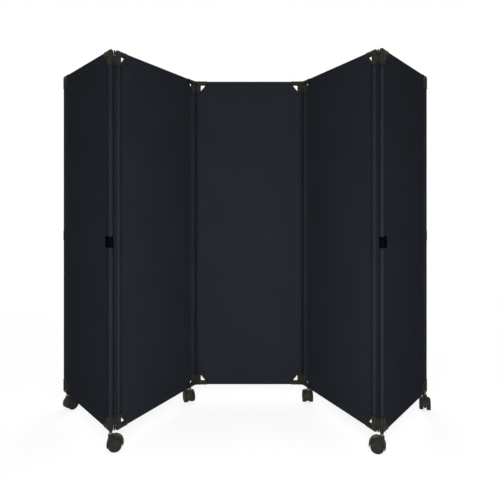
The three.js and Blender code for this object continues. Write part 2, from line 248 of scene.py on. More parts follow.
def stem_insets():
    """How far from the upright's axis a caster's stem enters a corner moulding, by panel and corner."""
    insets = {}
    for name in CASTERS:
        number, end = int(name[0]), name[2:]
        stem = panel_place(number).inverted() @ joint_place[f"swivel_{name}"]
        insets[number, f"bottom_{end}"] = round(half_spacing() - abs(stem.x), 5)
    return insets


# Meshes and pieces

def make_mesh(name, points, faces):
    mesh = bpy.data.meshes.new(name)
    mesh.from_pydata([tuple(point) for point in points], [], faces)
    mesh.update()
    mesh.shade_smooth()
    return mesh


def make_piece(name, mesh, place, body, replaced=(), finishes=()):
    """Puts a mesh in its place in the row frame and makes it ride on its body."""
    if not mesh.polygons:
        raise RuntimeError(f"{name} has no faces")
    mesh.transform(place)
    for finish in finishes:
        mesh.materials.append(material_of(finish))
    piece = bpy.data.objects.new(name, mesh)
    bpy.context.scene.collection.objects.link(piece)
    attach(piece, body)
    if replaced:
        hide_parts(*replaced)
    return piece


def panel_piece(number, name, mesh, parts=(), finishes=(), place=Matrix.Identity(4)):
    """A piece that rides on a panel, at a place in the panel's frame, and stands for parts of that panel."""
    body = f"panel_{number}"
    replaced = [f"{body}_{part}" for part in parts]
    return make_piece(f"{body}_{name}", mesh, panel_place(number) @ place, body, replaced, finishes)


def modified(mesh, kind, settings, inputs=()):
    """The plain mesh that a modifier makes of a mesh, with its settings and its node group's inputs."""
    carrier = bpy.data.objects.new("carrier", mesh)
    bpy.context.scene.collection.objects.link(carrier)
    modifier = carrier.modifiers.new(kind.lower(), kind)
    for key, value in settings.items():
        setattr(modifier, key, value)
    for socket, value in inputs:
        modifier[socket] = value
    graph = bpy.context.evaluated_depsgraph_get()
    result = bpy.data.meshes.new_from_object(carrier.evaluated_get(graph))
    bpy.data.objects.remove(carrier)
    return result


def swept(sections, is_closed=False, has_caps=True):
    """Points and faces of a tube through rings of points; one that closes on itself has no caps."""
    rings, sides = len(sections), len(sections[0])
    points = [point for section in sections for point in section]
    faces = []
    for ring in range(rings if is_closed else rings - 1):
        here, there = ring * sides, (ring + 1) % rings * sides
        for side in range(sides):
            after = (side + 1) % sides
            faces.append((here + side, here + after, there + after, there + side))
    if has_caps and not is_closed:
        faces.append(tuple(reversed(range(sides))))
        faces.append(tuple(range((rings - 1) * sides, rings * sides)))
    return points, faces


def turned(profile, segments):
    """Points and faces of a solid turned about Z from (radius, height) pairs, the ends on the axis."""
    angles = [2 * math.pi * step / segments for step in range(segments)]
    rings = [[(radius * math.cos(angle), radius * math.sin(angle), height) for angle in angles]
             for radius, height in profile[1:-1]]
    points, faces = swept(rings, has_caps=False)
    first, last = len(points), len(points) + 1
    base = first - segments
    points += [(0, 0, profile[0][1]), (0, 0, profile[-1][1])]
    for step in range(segments):
        after = (step + 1) % segments
        faces.append((first, after, step))
        faces.append((last, base + step, base + after))
    return points, faces


def outward(mesh, keeps_points=False):
    """Turns every face outwards; merges doubles and marks sharp edges unless it keeps the points."""
    shape = bmesh.new()
    shape.from_mesh(mesh)
    if not keeps_points:
        bmesh.ops.remove_doubles(shape, verts=shape.verts, dist=0.01 * MM)
    bmesh.ops.recalc_face_normals(shape, faces=shape.faces)
    shape.to_mesh(mesh)
    shape.free()
    if not keeps_points:
        mesh.set_sharp_from_angle(angle=math.radians(38))
    return mesh


# Moulded shapes: a distance below zero is inside the plastic

def rod(points, start, end, radius, edge, end_radius=None):
    """Distance to a round bar with rounded edges, tapering to end_radius."""
    start, end = np.array(start, float), np.array(end, float)
    reach = np.linalg.norm(end - start)
    axis = (end - start) / reach
    along = (points - start) @ axis
    across = np.linalg.norm(points - start - along[..., None] * axis, axis=-1)
    far = radius if end_radius is None else end_radius
    side = across - radius - (far - radius) * np.clip(along / reach, 0, 1) + edge
    cap = np.abs(along - reach / 2) - reach / 2 + edge
    return np.hypot(np.maximum(side, 0), np.maximum(cap, 0)) + np.minimum(np.maximum(side, cap), 0) - edge


def block(points, centre, directions, halves, edge):
    """Distance to a box with rounded edges, standing along three directions."""
    local = (points - np.array(centre)) @ np.array(directions, float).T
    beyond = np.abs(local) - np.array(halves) + edge
    outside = np.linalg.norm(np.maximum(beyond, 0), axis=-1)
    return outside + np.minimum(beyond.max(axis=-1), 0) - edge


def joined(one, other, fillet):
    share = np.clip(0.5 + 0.5 * (other - one) / fillet, 0, 1)
    return other + (one - other) * share - fillet * share * (1 - share)


def common(one, other, edge):
    return -joined(-one, -other, edge)


def cut(one, other, edge):
    return common(one, -other, edge)


def edge_crossings(depth, axis):
    """Which grid edges along an axis cross the surface, and the grid place of each crossing."""
    near = tuple(slice(0, -1) if i == axis else slice(None) for i in range(3))
    far = tuple(slice(1, None) if i == axis else slice(None) for i in range(3))
    crossed = (depth[near] < 0) != (depth[far] < 0)
    step = np.where(crossed, depth[near] / np.where(crossed, depth[near] - depth[far], 1), 0)
    places = [np.arange(count, dtype=float) for count in crossed.shape]
    where = np.stack(np.meshgrid(*places, indexing="ij"), axis=-1)
    where[..., axis] += step
    return crossed, where


def crossing_faces(crossed, axis, index, inside):
    """A square round each crossed grid edge, between the points of its four cells, turned outwards."""
    after, last = (axis + 1) % 3, (axis + 2) % 3
    place = np.argwhere(crossed)
    place = place[(place[:, after] > 0) & (place[:, last] > 0)]
    place = place[(place[:, after] < index.shape[after]) & (place[:, last] < index.shape[last])]
    corners = []
    for back in ((1, 1), (0, 1), (0, 0), (1, 0)):
        corner = place.copy()
        corner[:, [after, last]] -= back
        corners.append(index[tuple(corner.T)])
    quads = np.stack(corners, axis=1)
    leaves = inside[tuple(place.T)]
    return [*quads[leaves].tolist(), *quads[~leaves][:, ::-1].tolist()]


def moulded(name, distance, low, high, cell, keep_share):
    """A closed mesh over the zero surface of a distance function, one point to each grid cell it crosses."""
    margin = 2 * cell
    axes = [np.arange(low[i] - margin, high[i] + margin + cell, cell) for i in range(3)]
    depth = distance(np.stack(np.meshgrid(*axes, indexing="ij"), axis=-1))
    cells = tuple(size - 1 for size in depth.shape)
    total, count = np.zeros((*cells, 3)), np.zeros(cells)
    crossings = []
    for axis in range(3):
        crossed, where = edge_crossings(depth, axis)
        others = [i for i in range(3) if i != axis]
        for offsets in ((0, 0), (0, 1), (1, 0), (1, 1)):
            window = [slice(None)] * 3
            for other, offset in zip(others, offsets):
                window[other] = slice(offset, offset + cells[other])
            seen = crossed[tuple(window)]
            total += where[tuple(window)] * seen[..., None]
            count += seen
        crossings.append(crossed)
    used = count > 0
    index = np.full(cells, -1)
    index[used] = np.arange(used.sum())
    points = total[used] / count[used][:, None] * cell + np.array([axis[0] for axis in axes])
    faces = []
    for axis, crossed in enumerate(crossings):
        faces += crossing_faces(crossed, axis, index, depth < 0)
    return modified(make_mesh(name, points, faces), "DECIMATE", {"ratio": keep_share})


# Node trees

def set_inputs(tree, node, inputs):
    """Sets each input of a node to a value, or links it where the value is another node's socket."""
    for name, value in inputs.items():
        if isinstance(value, bpy.types.NodeSocket):
            tree.links.new(value, node.inputs[name])
        else:
            node.inputs[name].default_value = value


def add_node(tree, kind, inputs=None, **settings):
    node = tree.nodes.new(kind)
    for key, value in settings.items():
        setattr(node, key, value)
    set_inputs(tree, node, inputs or {})
    return node


def arithmetic(tree, operation, *values):
    return add_node(tree, "ShaderNodeMath", dict(enumerate(values)), operation=operation).outputs[0]


def weighted(tree, *parts):
    """The sum of values, each given with its weight."""
    total = None
    for value, weight in parts:
        part = arithmetic(tree, "MULTIPLY", value, weight)
        total = part if total is None else arithmetic(tree, "ADD", total, part)
    return total


def start_material(name):
    material = bpy.data.materials.new(name)
    material.use_nodes = True
    tree = material.node_tree
    return material, tree, tree.nodes["Principled BSDF"]


def object_place(tree):
    return add_node(tree, "ShaderNodeTexCoord").outputs["Object"]


def cloth_place(tree):
    """The place on the flat cloth, in metres."""
    return add_node(tree, "ShaderNodeUVMap", uv_map="cloth").outputs["UV"]


def scaled(tree, vector, scale):
    return add_node(tree, "ShaderNodeMapping", {"Vector": vector, "Scale": scale}).outputs["Vector"]


def shaded(colour, share):
    """The colour made lighter or darker by a share of itself, with an alpha."""
    return (*[channel * share for channel in colour], 1)


def two_tones(tree, factor, colour, dark_share, light_share):
    """A colour that runs from darker to lighter with the factor."""
    tones = {"Factor": factor, "A": shaded(colour, dark_share), "B": shaded(colour, light_share)}
    return add_node(tree, "ShaderNodeMix", tones, data_type="RGBA").outputs["Result"]


def noise(tree, vector, size, detail=3, roughness=0.55):
    """Noise whose blotches are about this size."""
    return add_node(tree, "ShaderNodeTexNoise", {
        "Vector": vector, "Scale": 1 / size, "Detail": detail, "Roughness": roughness}).outputs["Fac"]


def spread(tree, value, low, high, new_low=0.0, new_high=1.0):
    ranges = {"From Min": low, "From Max": high, "To Min": new_low, "To Max": new_high}
    return add_node(tree, "ShaderNodeMapRange", {"Value": value, **ranges}).outputs["Result"]


def bumped(tree, height, rise, strength=1.0):
    return add_node(tree, "ShaderNodeBump", {
        "Height": height, "Distance": rise, "Strength": strength}).outputs["Normal"]


def plain_weave(tree, flat, yarn):
    """Yarns that pass over and under each other: high where a yarn is on top, low between yarns."""
    place = add_node(tree, "ShaderNodeSeparateXYZ", {"Vector": flat})
    across, up = (arithmetic(tree, "DIVIDE", place.outputs[axis], yarn) for axis in "XY")
    half_turns = (arithmetic(tree, "MULTIPLY", way, math.pi) for way in (across, up))
    warp, weft = (arithmetic(tree, "ABSOLUTE", arithmetic(tree, "SINE", turn)) for turn in half_turns)
    cell = arithmetic(tree, "ADD", arithmetic(tree, "FLOOR", across), arithmetic(tree, "FLOOR", up))
    is_odd = arithmetic(tree, "FLOORED_MODULO", cell, 2.0)
    pairs = ({"Factor": is_odd, "A": even, "B": odd} for even, odd in ((warp, weft), (weft, warp)))
    over, under = (add_node(tree, "ShaderNodeMix", pair, data_type="FLOAT") for pair in pairs)
    dip = spread(tree, under.outputs["Result"], 0, 1, 0.45, 1)
    return arithmetic(tree, "MULTIPLY", over.outputs["Result"], dip)


def woven_cloth(colour):
    """Plain weave of fine yarn on the cover's own map, with slubs and faint clouds, and without shine."""
    material, tree, shader = start_material("woven_cloth")
    flat = cloth_place(tree)
    weave = plain_weave(tree, flat, 0.85 * MM)
    slubs = noise(tree, scaled(tree, flat, (1, 14, 1)), 22 * MM, detail=2)
    specks = noise(tree, flat, 1.6 * MM, detail=1)
    clouds = noise(tree, flat, 330 * MM, detail=2)
    tone = weighted(tree, (weave, 0.34), (specks, 0.22), (slubs, 0.20), (clouds, 0.34))
    set_inputs(tree, shader, {
        "Base Color": two_tones(tree, spread(tree, tone, 0.25, 0.85), colour, 0.72, 1.28),
        "Roughness": spread(tree, slubs, 0.3, 0.7, 0.86, 0.96),
        "Specular IOR Level": 0,
        "Normal": bumped(tree, weighted(tree, (weave, 1), (slubs, 0.8)), 0.16 * MM, 0.7),
    })
    return material


def sewing_thread(colour):
    material, tree, shader = start_material("sewing_thread")
    fibres = noise(tree, object_place(tree), 0.5 * MM, detail=2)
    set_inputs(tree, shader, {
        "Base Color": two_tones(tree, fibres, colour, 0.6, 1.5),
        "Roughness": 0.7,
        "Sheen Weight": 0.2,
        "Normal": bumped(tree, fibres, 0.05 * MM),
    })
    return material


def moulded_plastic(name, colour, rough_low, rough_high):
    """Fine spark-eroded grain with faint flow clouds, lighter where edges have been rubbed."""
    material, tree, shader = start_material(name)
    place = object_place(tree)
    grain = noise(tree, place, 0.7 * MM, detail=2)
    clouds = noise(tree, place, 26 * MM, detail=3)
    scuffs = spread(tree, noise(tree, place, 7 * MM, detail=5, roughness=0.7), 0.58, 0.72)
    worn = spread(tree, add_node(tree, "ShaderNodeNewGeometry").outputs["Pointiness"], 0.52, 0.60)
    wear = arithmetic(tree, "MULTIPLY", worn, spread(tree, scuffs, 0, 1, 0.35, 1))
    tone = weighted(tree, (grain, 0.3), (clouds, 0.5), (wear, 0.5))
    dull = spread(tree, clouds, 0.3, 0.7, rough_low, rough_high)
    set_inputs(tree, shader, {
        "Base Color": two_tones(tree, tone, colour, 0.72, 1.42),
        "Roughness": weighted(tree, (dull, 1), (wear, -0.08)),
        "Specular IOR Level": 0.1,
        "Normal": bumped(tree, weighted(tree, (grain, 1), (scuffs, 0.4)), 0.06 * MM, 0.8),
    })
    return material


def corner_plastic(colour):
    return moulded_plastic("corner_plastic", colour, rough_low=0.46, rough_high=0.62)


def caster_plastic(colour):
    return moulded_plastic("caster_plastic", colour, rough_low=0.42, rough_high=0.58)


def strip_rubber(colour):
    """Dull extruded rubber with faint die lines up its length and some dust, on a colour darkened as painted
    shade for the recessed joint.
    """
    material, tree, shader = start_material("strip_rubber")
    place = object_place(tree)
    lines = noise(tree, scaled(tree, place, (1, 1, 0.02)), 1.2 * MM, detail=2)
    dust = noise(tree, place, 60 * MM, detail=5, roughness=0.7)
    set_inputs(tree, shader, {
        "Base Color": two_tones(tree, weighted(tree, (lines, 0.4), (dust, 0.6)), colour, 0.6, 1.5),
        "Roughness": spread(tree, dust, 0.3, 0.7, 0.66, 0.86),
        "Specular IOR Level": 0.06,
        "Normal": bumped(tree, lines, 0.05 * MM),
    })
    return material


def looped_strap(colour):
    """Dense loop pile, which has no shine of its own."""
    material, tree, shader = start_material("looped_strap")
    flat = cloth_place(tree)
    pile = add_node(tree, "ShaderNodeTexVoronoi", {"Vector": flat, "Scale": 1 / (0.9 * MM)})
    tufts = noise(tree, flat, 3.5 * MM, detail=3)
    tone = weighted(tree, (pile.outputs["Distance"], 0.7), (tufts, 0.5))
    set_inputs(tree, shader, {
        "Base Color": two_tones(tree, tone, colour, 0.55, 1.6),
        "Roughness": spread(tree, tufts, 0.3, 0.7, 0.78, 0.95),
        "Specular IOR Level": 0,
        "Normal": bumped(tree, tone, 0.35 * MM, 0.8),
    })
    return material


def painted_tube(colour):
    """Thin satin paint over drawn tube, with faint orange peel."""
    material, tree, shader = start_material("painted_tube")
    place = object_place(tree)
    peel = noise(tree, place, 1.8 * MM, detail=2)
    rubbed = noise(tree, place, 14 * MM, detail=4, roughness=0.65)
    set_inputs(tree, shader, {
        "Base Color": two_tones(tree, rubbed, colour, 0.85, 1.12),
        "Roughness": spread(tree, rubbed, 0.3, 0.7, 0.32, 0.5),
        "Coat Weight": 0.2,
        "Coat Roughness": 0.25,
        "Normal": bumped(tree, peel, 0.03 * MM),
    })
    return material


def plated_steel(colour):
    """Zinc-plated steel with turning marks round the stem and a dull bloom."""
    material, tree, shader = start_material("plated_steel")
    place = object_place(tree)
    marks = noise(tree, scaled(tree, place, (0.02, 0.02, 1)), 0.35 * MM, detail=2)
    bloom = noise(tree, place, 6 * MM, detail=4, roughness=0.65)
    set_inputs(tree, shader, {
        "Base Color": two_tones(tree, bloom, colour, 0.8, 1.1),
        "Roughness": spread(tree, bloom, 0.3, 0.7, 0.24, 0.42),
        "Metallic": 1,
        "Normal": bumped(tree, marks, 0.03 * MM),
    })
    return material


def tyre_rubber(colour):
    """Grey tread with dust in its pores."""
    material, tree, shader = start_material("tyre_rubber")
    place = object_place(tree)
    pores = noise(tree, place, 1.1 * MM, detail=3)
    dust = noise(tree, place, 11 * MM, detail=5, roughness=0.7)
    set_inputs(tree, shader, {
        "Base Color": two_tones(tree, weighted(tree, (pores, 0.4), (dust, 0.6)), colour, 0.65, 1.5),
        "Roughness": spread(tree, dust, 0.3, 0.7, 0.6, 0.85),
        "Specular IOR Level": 0.12,
        "Normal": bumped(tree, pores, 0.08 * MM),
    })
    return material


def seen_rays(tree):
    """1 for rays from the camera or off gloss or through glass, 0 for the rest."""
    path = add_node(tree, "ShaderNodeLightPath")
    seen = arithmetic(tree, "MAXIMUM", path.outputs["Is Camera Ray"], path.outputs["Is Glossy Ray"])
    return arithmetic(tree, "MAXIMUM", seen, path.outputs["Is Transmission Ray"])


def white_light(tree, strength):
    return add_node(tree, "ShaderNodeEmission", {"Color": (1, 1, 1, 1), "Strength": strength}).outputs[0]


def shader_mix(tree, factor, one, other):
    return add_node(tree, "ShaderNodeMixShader", {0: factor, 1: one, 2: other}).outputs[0]


def pale_floor(colour, white_share, open_light):
    """A plain floor that keeps a soft shadow, is seen as white in the open and passes into a white backdrop.

    open_light is how bright the floor is in the open near the screen before any white is added.
    """
    material, tree, shader = start_material("pale_floor")
    place = object_place(tree)
    faint = noise(tree, place, 400 * MM, detail=2)
    set_inputs(tree, shader, {
        "Base Color": two_tones(tree, faint, colour, 0.985, 1.015),
        "Roughness": 0.9,
        "Specular IOR Level": 0,
    })
    seen = seen_rays(tree)
    added = (1 - (1 - white_share) * open_light) / white_share
    white_part = arithmetic(tree, "MULTIPLY", seen, white_share)
    near = shader_mix(tree, white_part, shader.outputs[0], white_light(tree, added))
    from_screen = add_node(tree, "ShaderNodeVectorMath", {0: place}, operation="LENGTH").outputs["Value"]
    far_part = arithmetic(tree, "MULTIPLY", seen, spread(tree, from_screen, 2.2 * METRE, 4 * METRE))
    whole = shader_mix(tree, far_part, near, white_light(tree, 1))
    set_inputs(tree, tree.nodes["Material Output"], {"Surface": whole})
    return material


FINISHES = {
    "cloth": woven_cloth,
    "thread": sewing_thread,
    "tube": painted_tube,
    "moulding": corner_plastic,
    "rubber": strip_rubber,
    "strap": looped_strap,
    "caster": caster_plastic,
    "tyre": tyre_rubber,
    "steel": plated_steel,
}
made_materials = {}


def material_of(name):
    """Each finish is made once, on first use."""
    if name not in made_materials:
        colour = getattr(bpy.context.scene.screen_colours, name)
        made_materials[name] = FINISHES[name](colour)
    return made_materials[name]


# Frame tubes

def tube_mesh(sizes):
    """One square loop of round tube, mitred at its corners, in a panel's own frame."""
    rails, half, radius, sides = rail_heights(sizes), half_spacing(), sizes.tube_radius, 32
    corners = [(-half, rails["low"]), (half, rails["low"]), (half, rails["high"]), (-half, rails["high"])]
    sections = []
    for x, z in corners:
        out_x, out_z = math.copysign(1, x), 1 if z == rails["high"] else -1
        ring = []
        for side in range(sides):
            angle = 2 * math.pi * side / sides
            reach = radius * math.cos(angle)
            ring.append((x + out_x * reach, radius * math.sin(angle), z + out_z * reach))
        sections.append(ring)
    return outward(make_mesh("tube", *swept(sections, is_closed=True)))


class MakeTubes(bpy.types.Operator):
    """Make the round tube frame of each panel"""
    bl_idname = "screen.make_tubes"
    bl_label = "Frame tubes"

    def execute(self, context):
        loop = tube_mesh(context.scene.frame_sizes)
        for number in PANELS:
            panel_piece(number, "tube", loop.copy(), ["frame"], ["tube"])
        return {"FINISHED"}


# Cover

# The long waves: share of the height, length across and up in millimetres, and multiple of the shift
LONG_WAVES = ((0.5, 410, 1900, 1), (0.35, -660, 830, 2.1), (0.2, 190, 570, 3.3))


def ripple_height(x, z, number, half, rails, sizes):
    """Slight waves of the cloth, none at the tubes: long ones, and pulls that fan out from the corners."""
    centre = (rails["low"] + rails["high"]) / 2
    tall = (rails["high"] - rails["low"]) / 2
    inset = np.minimum(half - np.abs(x), tall - np.abs(z - centre)) - sizes.hem
    mask = np.clip(inset / (80 * MM), 0, 1) ** 1.5
    shift = number * 1.7
    waves = 0
    for height_share, across, up, shifts in LONG_WAVES:
        turns = x / (across * MM) + z / (up * MM)
        waves = waves + height_share * np.sin(2 * math.pi * turns + shifts * shift)
    for side in (-1, 1):
        for end in (-1, 1):
            from_x, from_z = half - side * x, tall - end * (z - centre)
            fan = np.arctan2(from_z, from_x)
            fade = np.exp(-np.hypot(from_x, from_z) / (240 * MM))
            waves += 0.9 * fade * np.sin(9 * fan + shift)
    return sizes.ripple * mask * waves


def wrapped_line(radius, flank, steps):
    """A line in along a flank, round a circle about the origin and back along the flank's mirror image."""
    leave = math.pi / 2
    if flank:
        tip = Vector(flank[-1])
        leave = math.acos(radius / tip.length) + tip.angle(Vector((1, 0)))
    arc = [leave + (2 * math.pi - 2 * leave) * step / steps for step in range(steps + 1)]
    round_part = [(radius * math.cos(angle), radius * math.sin(angle)) for angle in arc]
    return [*flank, *round_part, *[(away, -depth) for away, depth in reversed(flank)]]


def sleeve_outline(sizes, tube_radius):
    """Outer and inner line of a hem round a tube: pairs of distance from the tube's axis and depth."""
    inner = tube_radius + sizes.sleeve_slack
    lap = sizes.cloth * 0.7
    lines = []
    for radius, rise in ((inner + sizes.cloth, lap + sizes.cloth), (inner, lap)):
        reaches = (sizes.hem, (sizes.hem + sizes.sleeve_tip) / 2, sizes.sleeve_tip)
        lines.append(wrapped_line(radius, [(reach, rise) for reach in reaches], steps=22))
    return lines


def tape_outline(sizes):
    """Outer and inner line of a tape folded over an edge of the cloth."""
    width, rise, wall = 9 * MM, sizes.cloth * 0.62, sizes.cloth * 0.75
    outer = [(width, rise + wall), (0, rise + wall), (-wall, 0), (0, -rise - wall), (width, -rise - wall)]
    inner = [(width, rise), (0.3 * wall, rise), (0.1 * wall, 0), (0.3 * wall, -rise), (width, -rise)]
    return outer, inner


def run_lengths(side):
    """How far along the cloth each point of a line lies."""
    runs = [0.0]
    for before, here in zip(side, side[1:]):
        runs.append(runs[-1] + math.hypot(here[0] - before[0], here[1] - before[1]))
    return runs


def even_shares(count):
    return [step / count for step in range(count + 1)]


class ClothShape:
    """Gathers layers of cloth: points in a panel's frame, faces, and the points' places on flat cloth."""

    def __init__(self):
        self.points, self.faces, self.flat = [], [], []

    def add(self, points, faces, flat):
        first = len(self.points)
        self.points += points
        self.flat += flat
        self.faces += [tuple(first + corner for corner in face) for face in faces]

    def add_band(self, start, end, inward, lines, shares):
        """A folded band between two (x, z) points, with a ring of points at each share of its length.

        Its outer and inner line are pairs of distance inward and depth.
        """
        outer, inner = lines
        outline = [*outer, *reversed(inner)]
        runs = [*run_lengths(outer), *reversed(run_lengths(inner))]
        rings, flat = [], []
        for share in shares:
            here, along = start.lerp(end, share), (end - start).length * share
            spots = [here + inward * away for away, depth in outline]
            rings.append([(spot.x, depth, spot.y) for spot, (away, depth) in zip(spots, outline)])
            flat += [(run, along) if inward.y == 0 else (along, run) for run in runs]
        points, faces = swept(rings, has_caps=False)
        # the ends are strips between the two lines, because the outline isn't convex
        for base in (0, len(points) - len(outline)):
            far = base + len(outline) - 1
            for step in range(len(outer) - 1):
                faces.append((base + step, base + step + 1, far - step - 1, far - step))
        self.add(points, faces, flat)

    def mesh(self, name):
        mesh = outward(make_mesh(name, self.points, self.faces), keeps_points=True)
        layer = mesh.uv_layers.new(name="cloth")
        flat = np.array(self.flat)
        corners = np.empty(len(mesh.loops), dtype=int)
        mesh.loops.foreach_get("vertex_index", corners)
        layer.data.foreach_set("uv", flat[corners].astype(np.float32).ravel())
        return mesh


def hem_lines(frame_sizes, away, clearance):
    """Start, end and inward direction of a line along each hem, this far away from its tube's axis."""
    rails, half = rail_heights(frame_sizes), half_spacing()
    rail_end = half - frame_sizes.socket_length - clearance
    low = rails["low"] + frame_sizes.collar_top + clearance
    high = rails["high"] - frame_sizes.collar_top - clearance
    lines = []
    for rail, up in ((rails["low"], 1), (rails["high"], -1)):
        z = rail + up * away
        lines.append((Vector((-rail_end, z)), Vector((rail_end, z)), Vector((0, up))))
    for side in (-1, 1):
        x = side * (half - away)
        lines.append((Vector((x, low)), Vector((x, high)), Vector((-side, 0))))
    return lines


def brace_ends(sizes):
    """Foot and head of the slanting brace: along the rail and up the upright from the corner."""
    root = sizes.moulding_radius - sizes.brace_root
    foot = Vector((sizes.socket_length - sizes.brace_foot_inset, root))
    head = Vector((root, sizes.slot_high + sizes.brace_head_rise))
    return foot, head


def slant_ends(frame_sizes, sizes):
    """Both ends of the cloth's slanting edge, which runs beside the brace from the socket to the collar."""
    foot, head = brace_ends(frame_sizes)
    slope = (head - foot).normalized()
    beside = foot + Vector((slope.y, -slope.x)) * (frame_sizes.brace_width / 2 + sizes.cloth)
    clear = frame_sizes.moulding_radius + sizes.end_gap
    low = beside + slope * ((clear - beside.y) / slope.y)
    high = beside + slope * ((clear - beside.x) / slope.x)
    return low, high


def cloth_edges(frame_sizes, sizes):
    """Heights of the rows of the flat cloth, each with how far it reaches to either side."""
    rails, half = rail_heights(frame_sizes), half_spacing()
    low_end, high_end = slant_ends(frame_sizes, sizes)
    collar_end = frame_sizes.collar_top + sizes.end_gap
    full_reach = half - sizes.sleeve_tip + sizes.cloth
    slant = [low_end.lerp(high_end, share) for share in even_shares(6)]
    corner = [(spot.y, half - spot.x) for spot in slant]
    corner += [(collar_end, half - high_end.x), (collar_end + sizes.cloth, full_reach)]
    bottom = [(rails["low"] + rise, reach) for rise, reach in corner]
    top = [(rails["high"] - rise, reach) for rise, reach in reversed(corner)]
    low, high = bottom[-1][0], top[0][0]
    rows = round((high - low) / sizes.grid)
    middle = [(low + (high - low) * row / rows, full_reach) for row in range(1, rows)]
    return [*bottom, *middle, *top]


def add_flat_cloth(shape, frame_sizes, sizes):
    """The stretched middle of the cover, one layer with its two faces and its rim."""
    rows = cloth_edges(frame_sizes, sizes)
    columns = round(2 * half_spacing() / sizes.grid)
    depth = sizes.cloth * 0.6
    layers = [((2 * column / columns - 1) * reach, side * depth, z)
              for side in (-1, 1) for z, reach in rows for column in range(columns + 1)]
    wide, tall = columns + 1, len(rows)
    sheet = wide * tall
    faces = []
    for row in range(tall - 1):
        for column in range(columns):
            here = row * wide + column
            quad = (here, here + 1, here + wide + 1, here + wide)
            faces += [quad, tuple(sheet + corner for corner in reversed(quad))]
    rim = [*range(wide), *[row * wide + columns for row in range(1, tall)],
           *[(tall - 1) * wide + column for column in range(columns - 1, -1, -1)],
           *[row * wide for row in range(tall - 2, 0, -1)]]
    for here, after in zip(rim, [*rim[1:], rim[0]]):
        faces.append((after, here, sheet + here, sheet + after))
    shape.add(layers, faces, [(x, z) for x, depth, z in layers])


def slants(frame_sizes, sizes):
    """Start, end and inward direction of the four slanting edges of the cloth."""
    rails, half = rail_heights(frame_sizes), half_spacing()
    low, high = slant_ends(frame_sizes, sizes)
    found = []
    for side in (-1, 1):
        for rail, up in ((rails["low"], 1), (rails["high"], -1)):
            start = Vector((side * (half - low.x), rail + up * low.y))
            end = Vector((side * (half - high.x), rail + up * high.y))
            along = (end - start).normalized()
            found.append((start, end, Vector((-side * abs(along.y), up * abs(along.x)))))
    return found


def cover_mesh(number, frame_sizes, sizes):
    rails, half = rail_heights(frame_sizes), half_spacing()
    shape = ClothShape()
    add_flat_cloth(shape, frame_sizes, sizes)
    sleeve = sleeve_outline(sizes, frame_sizes.tube_radius)
    for start, end, inward in hem_lines(frame_sizes, 0, sizes.end_gap):
        stations = max(2, round((end - start).length / (1.5 * sizes.grid)))
        shape.add_band(start, end, inward, sleeve, even_shares(stations))
    for start, end, inward in slants(frame_sizes, sizes):
        shape.add_band(start, end, inward, tape_outline(sizes), even_shares(8))
    spots = np.array(shape.points)
    spots[:, 1] += ripple_height(spots[:, 0], spots[:, 2], number, half, rails, sizes)
    shape.points = [tuple(spot) for spot in spots]
    return shape.mesh("cover")


class MakeCovers(bpy.types.Operator):
    """Make the woven cover of each panel, with a hem round each tube and taped corners"""
    bl_idname = "screen.make_covers"
    bl_label = "Covers"

    def execute(self, context):
        frame_sizes, sizes = context.scene.frame_sizes, context.scene.cloth_sizes
        for number in PANELS:
            mesh = cover_mesh(number, frame_sizes, sizes)
            cover = panel_piece(number, "cloth", mesh, ["cover"], ["cloth"])
        return {"FINISHED"}


# What repeats, placed by node trees

def start_tree(name, inputs, output):
    """A geometry tree with named inputs, their identifiers and the sockets that give them."""
    tree = bpy.data.node_groups.new(name, "GeometryNodeTree")
    sockets = {}
    for label, kind, default in inputs:
        socket = tree.interface.new_socket(label, in_out="INPUT", socket_type=f"NodeSocket{kind}")
        if default is not None:
            socket.default_value = default
        sockets[label] = socket.identifier
    tree.interface.new_socket(output, in_out="OUTPUT", socket_type="NodeSocketGeometry")
    return tree, sockets, add_node(tree, "NodeGroupInput").outputs


def ball(tree, segments, rings, radius, half_height):
    """A ball with a height of its own, about the origin."""
    size = add_node(tree, "ShaderNodeCombineXYZ", {"X": radius, "Y": radius, "Z": half_height})
    unit_ball = add_node(tree, "GeometryNodeMeshUVSphere", {
        "Segments": segments, "Rings": rings, "Radius": 1})
    return add_node(tree, "GeometryNodeTransform", {
        "Geometry": unit_ball.outputs["Mesh"], "Scale": size.outputs["Vector"]}).outputs["Geometry"]


def end_tree(tree, points, instance, rotation, material, output):
    """Puts the instance on every point and gives them all out as one mesh of one material."""
    placed = add_node(tree, "GeometryNodeInstanceOnPoints", {
        "Points": points, "Instance": instance, "Rotation": rotation})
    real = add_node(tree, "GeometryNodeRealizeInstances", {"Geometry": placed.outputs["Instances"]})
    dressed = add_node(tree, "GeometryNodeSetMaterial", {
        "Geometry": real.outputs["Geometry"], "Material": material})
    add_node(tree, "NodeGroupOutput", {output: dressed.outputs["Geometry"]})


def grown(mesh, tree, sockets, values):
    """The smooth mesh that a node tree makes from a mesh, with its inputs given by name."""
    inputs = [(sockets[name], value) for name, value in values.items()]
    result = modified(mesh, "NODES", {"node_group": tree}, inputs)
    result.shade_smooth()
    return result


# Stitching

